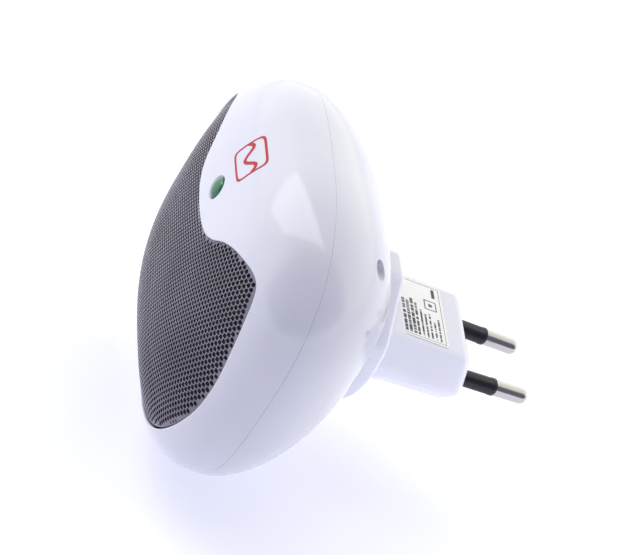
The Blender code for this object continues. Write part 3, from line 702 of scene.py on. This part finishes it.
# ---------------------------------------------------------------- materials
NOISE_START, NOISE_END = 0.3, 0.7
BROAD_RATIO = 14           # how much larger the colour patches are than the grain
SHELL_DARK = (0.60, 0.605, 0.75)
SHELL_LIGHT = (0.63, 0.635, 0.775)


class Nodes:
    """Short way to write a material's node tree."""

    def __init__(self, name):
        self.material = bpy.data.materials.new(name)
        self.material.use_nodes = True
        self.tree = self.material.node_tree
        self.shader = self.tree.nodes["Principled BSDF"]
        self.place = self.add("ShaderNodeTexCoord").outputs["Object"]

    def add(self, kind, **values):
        node = self.tree.nodes.new(kind)
        for key, value in values.items():
            setattr(node, key, value)
        return node

    def link(self, source, target):
        self.tree.links.new(source, target)

    def set(self, **values):
        for key, value in values.items():
            self.shader.inputs[key.replace("_", " ")].default_value = value

    def noise(self, scale, detail=3.0, stretch=None):
        texture = self.add("ShaderNodeTexNoise")
        texture.inputs["Scale"].default_value = scale
        texture.inputs["Detail"].default_value = detail
        source = self.place
        if stretch:
            mapping = self.add("ShaderNodeMapping")
            mapping.inputs["Scale"].default_value = stretch
            self.link(self.place, mapping.inputs["Vector"])
            source = mapping.outputs["Vector"]
        self.link(source, texture.inputs["Vector"])
        return texture.outputs["Fac"]

    def spread(self, source, low, high):
        """Map the middle of a noise to a range of values."""
        node = self.add("ShaderNodeMapRange")
        node.inputs["From Min"].default_value = NOISE_START
        node.inputs["From Max"].default_value = NOISE_END
        node.inputs["To Min"].default_value = low
        node.inputs["To Max"].default_value = high
        self.link(source, node.inputs["Value"])
        return node.outputs["Result"]

    def colours(self, source, first, second):
        """Map the middle of a noise to a blend of two colours."""
        ramp = self.add("ShaderNodeValToRGB")
        ramp.color_ramp.elements[0].position = NOISE_START
        ramp.color_ramp.elements[0].color = (*first, 1)
        ramp.color_ramp.elements[1].position = NOISE_END
        ramp.color_ramp.elements[1].color = (*second, 1)
        self.link(source, ramp.inputs["Fac"])
        return ramp.outputs["Color"]

    def bump(self, source, distance, strength=1.0):
        node = self.add("ShaderNodeBump")
        node.inputs["Distance"].default_value = distance
        node.inputs["Strength"].default_value = strength
        self.link(source, node.inputs["Height"])
        self.link(node.outputs["Normal"], self.shader.inputs["Normal"])


def mottled(name, dark, light, roughness, scale=400, metallic=0.0, grain=0.00001, stretch=None):
    """Base colour, roughness and bump all varied by two scales of noise."""
    made = Nodes(name)
    fine = made.noise(scale, 4, stretch)
    broad = made.noise(scale / BROAD_RATIO, 2)
    made.link(made.colours(broad, dark, light), made.shader.inputs["Base Color"])
    made.link(made.spread(fine, roughness[0], roughness[1]), made.shader.inputs["Roughness"])
    made.bump(fine, grain)
    made.set(Metallic=metallic)
    return made.material


def shell_plastic():
    """Glossy white moulding: faint mottling, moulding waviness and a fine polish grain."""
    made = Nodes("shell_plastic")
    broad = made.noise(38, 2)
    fine = made.noise(900, 3)
    made.link(made.colours(broad, SHELL_DARK, SHELL_LIGHT), made.shader.inputs["Base Color"])
    made.link(made.spread(fine, 0.13, 0.19), made.shader.inputs["Roughness"])
    made.bump(broad, 0.00002, 0.3)
    made.set(IOR=1.5, Coat_Weight=0.5, Coat_Roughness=0.03)
    return made.material


# printed pattern of the label, in millimetres
FRAME_OUTER = 0.6
FRAME_INNER = 0.75
LABEL_MARGIN = 1.4
ROW_PITCH = 1.18
ROWS_END = 13.6            # rows stop this far from the end margin
ROW_SHIFT = 7.3            # keeps the gaps of neighbouring rows apart
WORD_DENSITY = 2.1
WORD_GAPS = 0.41           # a row is blank where its noise is below this
RAGGED = 3.4               # how much the row starts vary
SIGNS_END = 4.7            # rows beyond this start further left
LONG_ROW_EXTRA = 3.6
BOLD_FROM = 6.6            # rows beyond this are heavier
BOLD_EXTRA = 0.12


def label_print():
    """Paper label: thin frame line and rows of plain bars, with no lettering."""
    low, high = box_mm("rating_label")
    made = Nodes("label_print")
    split = made.add("ShaderNodeSeparateXYZ")
    made.link(made.place, split.inputs["Vector"])

    def maths(operation, first, second=None):
        node = made.add("ShaderNodeMath", operation=operation)
        for socket, value in zip(node.inputs, (first, second)):
            if value is None:
                continue
            if isinstance(value, (int, float)):
                socket.default_value = value
            else:
                made.link(value, socket)
        return node.outputs["Value"]

    def product(first, second):
        return maths("MULTIPLY", first, second)

    def within(value, start, end):
        return product(maths("GREATER_THAN", value, start), maths("LESS_THAN", value, end))

    def panel(margin):
        return product(within(x, margin - half, half - margin),
                       within(y, low.y + margin, high.y - margin))

    def patch(left, right, near, far):
        return product(within(x, left, right), within(from_end, near, far))

    x = maths("DIVIDE", split.outputs["X"], MM)
    y = maths("DIVIDE", split.outputs["Y"], MM)
    half = high.x
    from_end = maths("SUBTRACT", high.y - LABEL_MARGIN, y)
    row = maths("FLOOR", maths("DIVIDE", from_end, ROW_PITCH))
    in_row = maths("FRACT", maths("DIVIDE", from_end, ROW_PITCH))
    words = made.add("ShaderNodeTexNoise", noise_dimensions="2D")
    words.inputs["Scale"].default_value = 1.0
    words.inputs["Detail"].default_value = 2.0
    join = made.add("ShaderNodeCombineXYZ")
    made.link(product(x, WORD_DENSITY), join.inputs["X"])
    made.link(product(row, ROW_SHIFT), join.inputs["Y"])
    made.link(join.outputs["Vector"], words.inputs["Vector"])
    lengths = made.add("ShaderNodeTexWhiteNoise", noise_dimensions="1D")
    made.link(row, lengths.inputs["W"])
    line_start = maths("SUBTRACT", RAGGED, product(lengths.outputs["Value"], RAGGED))
    below_signs = maths("GREATER_THAN", from_end, SIGNS_END)
    line_start = maths("SUBTRACT", line_start, product(below_signs, LONG_ROW_EXTRA))
    bold = product(maths("GREATER_THAN", from_end, BOLD_FROM), BOLD_EXTRA)
    stroke = product(maths("GREATER_THAN", in_row, maths("SUBTRACT", 0.2, bold)),
                     maths("LESS_THAN", in_row, maths("ADD", 0.66, bold)))
    bars = product(stroke, maths("GREATER_THAN", words.outputs["Fac"], WORD_GAPS))
    bars = product(bars, maths("GREATER_THAN", x, line_start))
    bars = product(bars, within(x, 1.6 - half, half - 1.3))
    bars = product(bars, within(from_end, 0.0, ROWS_END))
    block = patch(-9.1, -6.0, 0.5, 1.4)
    square = maths("SUBTRACT", patch(-4.6, -1.2, 0.5, 3.9), patch(-4.3, -1.5, 0.8, 3.6))
    dot = patch(-3.4, -2.4, 1.7, 2.7)
    signs = maths("ADD", maths("ADD", block, square), dot)
    frame_line = maths("SUBTRACT", panel(FRAME_OUTER), panel(FRAME_INNER))
    ink = maths("MINIMUM", maths("ADD", maths("ADD", frame_line, bars), signs), 1.0)
    mix = made.add("ShaderNodeMix", data_type="RGBA")
    made.link(ink, mix.inputs["Factor"])
    paper = made.colours(made.noise(300, 3), (0.80, 0.80, 0.86), (0.84, 0.84, 0.89))
    made.link(paper, mix.inputs["A"])
    mix.inputs["B"].default_value = (0.03, 0.03, 0.045, 1)
    made.link(mix.outputs["Result"], made.shader.inputs["Base Color"])
    made.link(made.spread(made.noise(1500), 0.32, 0.42), made.shader.inputs["Roughness"])
    made.bump(made.noise(1200, 4), 0.000004)
    return made.material


def lens_plastic():
    made = Nodes("lens_plastic")
    green = made.colours(made.noise(700), (0.006, 0.115, 0.062), (0.01, 0.155, 0.085))
    made.link(green, made.shader.inputs["Base Color"])
    made.link(made.spread(made.noise(1500), 0.05, 0.1), made.shader.inputs["Roughness"])
    made.set(Coat_Weight=0.6, Coat_Roughness=0.03, IOR=1.5)
    return made.material


SPECIAL = {"shell_white": shell_plastic, "label_paper": label_print, "lens_green": lens_plastic}
# dark colour, light colour, roughness range, noise scale, then metallic, grain and stretch
MOTTLED = {
    "grille_metal": ((0.165, 0.155, 0.205), (0.215, 0.20, 0.26), (0.08, 0.15), 900, 1.0, 0.000006),
    "mark_red": ((0.40, 0.003, 0.014), (0.47, 0.006, 0.022), (0.42, 0.55), 900),
    "sleeve_black": ((0.010, 0.009, 0.017), (0.018, 0.016, 0.028), (0.3, 0.46), 700),
    "pin_nickel": ((0.56, 0.54, 0.55), (0.64, 0.62, 0.62), (0.10, 0.22), 500, 1.0, 0.000003,
                   (1, 6, 1)),
    "screw_steel": ((0.40, 0.40, 0.42), (0.5, 0.5, 0.5), (0.25, 0.4), 700, 1.0),
    "board_green": ((0.012, 0.12, 0.04), (0.02, 0.18, 0.07), (0.35, 0.5), 300),
    "resistor_blue": ((0.04, 0.12, 0.3), (0.06, 0.17, 0.38), (0.3, 0.45), 600),
    "film_yellow": ((0.56, 0.37, 0.02), (0.65, 0.45, 0.04), (0.3, 0.42), 600),
    "can_black": ((0.015, 0.015, 0.03), (0.03, 0.03, 0.05), (0.28, 0.4), 600),
    "chip_black": ((0.015, 0.015, 0.015), (0.03, 0.03, 0.03), (0.5, 0.7), 900),
    "glass_orange": ((0.5, 0.14, 0.03), (0.65, 0.22, 0.06), (0.1, 0.2), 900),
    "coil_copper": ((0.42, 0.15, 0.05), (0.6, 0.26, 0.1), (0.25, 0.4), 600, 1.0, 0.00002,
                    (1, 12, 1)),
    "tweeter_black": ((0.02, 0.02, 0.02), (0.035, 0.035, 0.035), (0.5, 0.65), 500),
    "cone_paper": ((0.2, 0.19, 0.17), (0.28, 0.27, 0.24), (0.7, 0.9), 800),
    "brass": ((0.6, 0.42, 0.14), (0.72, 0.52, 0.2), (0.22, 0.36), 500, 1.0),
    "wire_red": ((0.42, 0.015, 0.015), (0.55, 0.03, 0.03), (0.4, 0.55), 700),
    "wire_black": ((0.015, 0.015, 0.015), (0.025, 0.025, 0.025), (0.4, 0.55), 700),
    "foam_grey": ((0.09, 0.09, 0.1), (0.14, 0.14, 0.15), (0.85, 1.0), 2500, 0.0, 0.0001),
    "cloth_black": ((0.004, 0.004, 0.006), (0.009, 0.009, 0.012), (0.85, 1.0), 2500, 0.0, 0.00005),
}


def dress(piece, slot):
    """Give a piece the material of its slot, made once and shared."""
    material = bpy.data.materials.get("look_" + slot)
    if material is None:
        material = SPECIAL[slot]() if slot in SPECIAL else mottled(slot, *MOTTLED[slot])
        material.name = "look_" + slot
    piece.data.materials.clear()
    piece.data.materials.append(material)


# ---------------------------------------------------------------- pieces
def place(piece, slot, *nodes):
    dress(piece, slot)
    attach(piece, "root")
    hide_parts(*nodes)


def build_object():
    place(front_shell(), "shell_white", "front_cover")
    place(rear_shell(), "shell_white", "rear_cover")
    place(plug_body(), "shell_white", "plug_housing")
    place(perforated_grille(), "grille_metal", "grille")
    place(grille_rim(), "grille_metal", "grille")
    place(dust_cloth(), "cloth_black", "grille_cloth")
    place(green_lens(), "lens_green", "led_lens")
    place(wave_mark(), "mark_red", "printed_mark")
    place(paper_label(), "label_paper", "rating_label")
    for name, side in (("left", -1), ("right", 1)):
        place(metal_pin("metal_pin_" + name, side), "pin_nickel", "plug_pin_" + name)
        place(sleeve("sleeve_" + name, side), "sleeve_black", "pin_sleeve_" + name)


def dress_cad_nodes():
    slots = {part["node"]: part["material_slot"] for part in frame["record"]["subparts"]}
    for name, piece in frame["nodes"].items():
        dress(piece, slots[name])


# ---------------------------------------------------------------- studio
LIGHT_TARGET = Vector((0, -0.04, 0))
# five corners of a large light panel, as directions from the middle of the shell
SOFTBOX_CORNERS = [(-0.72, -1.08, 0.32), (-0.73, -0.40, 0.70), (0.09, 0.42, 1.49),
                   (-0.01, -0.43, 0.98), (-0.22, -0.87, 0.64)]
SOFTBOX_CENTRE_Y = -0.05
SOFTBOX_DISTANCE = 1.1
SOFTBOX_COLOUR = (1, 1, 0.95)
SOFTBOX_RADIANCE = 3.0
SKY_STRENGTH = 1.7
SKY_PALE = (0.70, 0.71, 0.74)
SKY_LOW = (0.83, 0.83, 0.73)
SKY_HIGH = (0.60, 0.60, 0.53)
SKY_DARK = (0.10, 0.10, 0.13)
BLACK, GREY, WHITE = (0, 0, 0), (0.75, 0.75, 0.75), (1, 1, 1)
FLOOR_SIZE = 8
FLOOR_GAP = 0.0015
FLOOR_GLOW = (0.76, 0.77, 1.0)
FLOOR_GLOW_STRENGTH = 0.56


def area_light(name, direction, distance, size, power, colour):
    """Square lamp that looks at the object from one direction."""
    data = bpy.data.lights.new(name, "AREA")
    data.energy = power
    data.color = colour
    data.shape = "RECTANGLE"
    data.size = size
    data.size_y = size
    lamp = bpy.data.objects.new(name, data)
    away = Vector(direction).normalized()
    lamp.location = LIGHT_TARGET + away * distance
    lamp.rotation_mode = "QUATERNION"
    lamp.rotation_quaternion = away.to_track_quat("Z", "Y")
    lamp.visible_camera = False
    bpy.context.scene.collection.objects.link(lamp)
    return lamp


def lights_only(lamp, *names):
    """Keep a fill light on the named pieces and out of the reflections."""
    chosen = bpy.data.collections.new(lamp.name + "_pieces")
    for name in names:
        chosen.objects.link(bpy.data.objects[name])
    lamp.light_linking.receiver_collection = chosen
    lamp.visible_glossy = False


def softbox():
    """Large five-sided light panel above and in front of the grille."""
    points = [(x * SOFTBOX_DISTANCE, y * SOFTBOX_DISTANCE + SOFTBOX_CENTRE_Y, z * SOFTBOX_DISTANCE)
              for x, y, z in SOFTBOX_CORNERS]
    data = bpy.data.meshes.new("softbox")
    data.from_pydata(points, [], [tuple(range(len(points)))])
    panel = bpy.data.objects.new("softbox", data)
    bpy.context.scene.collection.objects.link(panel)
    paint = bpy.data.materials.new("softbox_glow")
    paint.use_nodes = True
    shader = paint.node_tree.nodes["Principled BSDF"]
    shader.inputs["Base Color"].default_value = (*BLACK, 1)
    shader.inputs["Emission Color"].default_value = (*SOFTBOX_COLOUR, 1)
    shader.inputs["Emission Strength"].default_value = SOFTBOX_RADIANCE
    data.materials.append(paint)
    panel.visible_camera = False


def sky():
    """Pale surroundings toward -X and a dark room toward +X, with a pale horizon."""
    scene = bpy.context.scene
    world = bpy.data.worlds.new("studio")
    scene.world = world
    world.use_nodes = True
    tree = world.node_tree
    background = tree.nodes["Background"]

    def ramp(source, stops):
        node = tree.nodes.new("ShaderNodeValToRGB")
        node.color_ramp.elements[0].position, first = stops[0]
        node.color_ramp.elements[0].color = (*first, 1)
        node.color_ramp.elements[1].position, last = stops[-1]
        node.color_ramp.elements[1].color = (*last, 1)
        for position, colour in stops[1:-1]:
            node.color_ramp.elements.new(position).color = (*colour, 1)
        tree.links.new(source, node.inputs["Fac"])
        return node.outputs["Color"]

    def mixed(factor, first, second):
        node = tree.nodes.new("ShaderNodeMix")
        node.data_type = "RGBA"
        for socket, source in (("Factor", factor), ("A", first), ("B", second)):
            tree.links.new(source, node.inputs[socket])
        return node.outputs["Result"]

    direction = tree.nodes.new("ShaderNodeTexCoord")
    half = tree.nodes.new("ShaderNodeVectorMath")
    half.operation = "MULTIPLY_ADD"
    half.inputs[1].default_value = (0.5, 0.5, 0.5)
    half.inputs[2].default_value = (0.5, 0.5, 0.5)
    tree.links.new(direction.outputs["Generated"], half.inputs[0])
    split = tree.nodes.new("ShaderNodeSeparateXYZ")
    tree.links.new(half.outputs["Vector"], split.inputs["Vector"])
    lit = ramp(split.outputs["Z"], [(0.5, SKY_LOW), (0.72, SKY_LOW), (0.95, SKY_HIGH)])
    unlit = ramp(split.outputs["Z"], [(0.53, SKY_PALE), (0.585, SKY_DARK), (1.0, SKY_DARK)])
    side = ramp(split.outputs["X"], [(0.53, BLACK), (0.60, GREY), (0.72, WHITE)])
    tree.links.new(mixed(side, lit, unlit), background.inputs["Color"])
    background.inputs["Strength"].default_value = SKY_STRENGTH


def studio():
    bpy.context.scene.view_settings.view_transform = "Standard"
    sky()
    softbox()
    rear_fill = area_light("rear_fill", (0.62, 0.74, 0.22), 1.3, 0.9, 3.4, (1, 1, 0.93))
    lights_only(rear_fill, "front_shell", "rear_shell", "plug_body", "paper_label")
    plug_fill = area_light("plug_fill", (0.70, 0.70, 0.16), 0.15, 0.05, 0.085, (1, 1, 0.95))
    lights_only(plug_fill, "plug_body")

    height = FRONT_LOW.z * MM - FLOOR_GAP
    bpy.ops.mesh.primitive_plane_add(size=FLOOR_SIZE, location=(0, 0, height))
    floor = bpy.context.object
    floor.name = "floor"
    paint = mottled("floor_paint", (0.64, 0.64, 0.61), (0.66, 0.66, 0.63), (0.6, 0.7), 40)
    glow = paint.node_tree.nodes["Principled BSDF"]
    glow.inputs["Emission Color"].default_value = (*FLOOR_GLOW, 1)
    glow.inputs["Emission Strength"].default_value = FLOOR_GLOW_STRENGTH
    floor.data.materials.append(paint)


CAMERA_PLACE = (0.43637, -0.24910, 0.32995)
CAMERA_RIGHT = (0.07814, 0.88179, 0.46513)
CAMERA_UP = (-0.65627, -0.30571, 0.68981)
CAMERA_LENS = 139.85
CAMERA_SENSOR = 36
CAMERA_CLIP = (0.05, 20)


def camera():
    data = bpy.data.cameras.new("camera")
    data.sensor_width = CAMERA_SENSOR
    data.lens = CAMERA_LENS
    data.clip_start, data.clip_end = CAMERA_CLIP
    eye = bpy.data.objects.new("camera", data)
    right = Vector(CAMERA_RIGHT).normalized()
    back = right.cross(Vector(CAMERA_UP)).normalized()
    up = back.cross(right)
    pose = Matrix((right, up, back)).transposed().to_4x4()
    pose.translation = Vector(CAMERA_PLACE)
    eye.matrix_world = pose
    bpy.context.scene.collection.objects.link(eye)
    bpy.context.scene.camera = eye


build_object()
dress_cad_nodes()
studio()
camera()
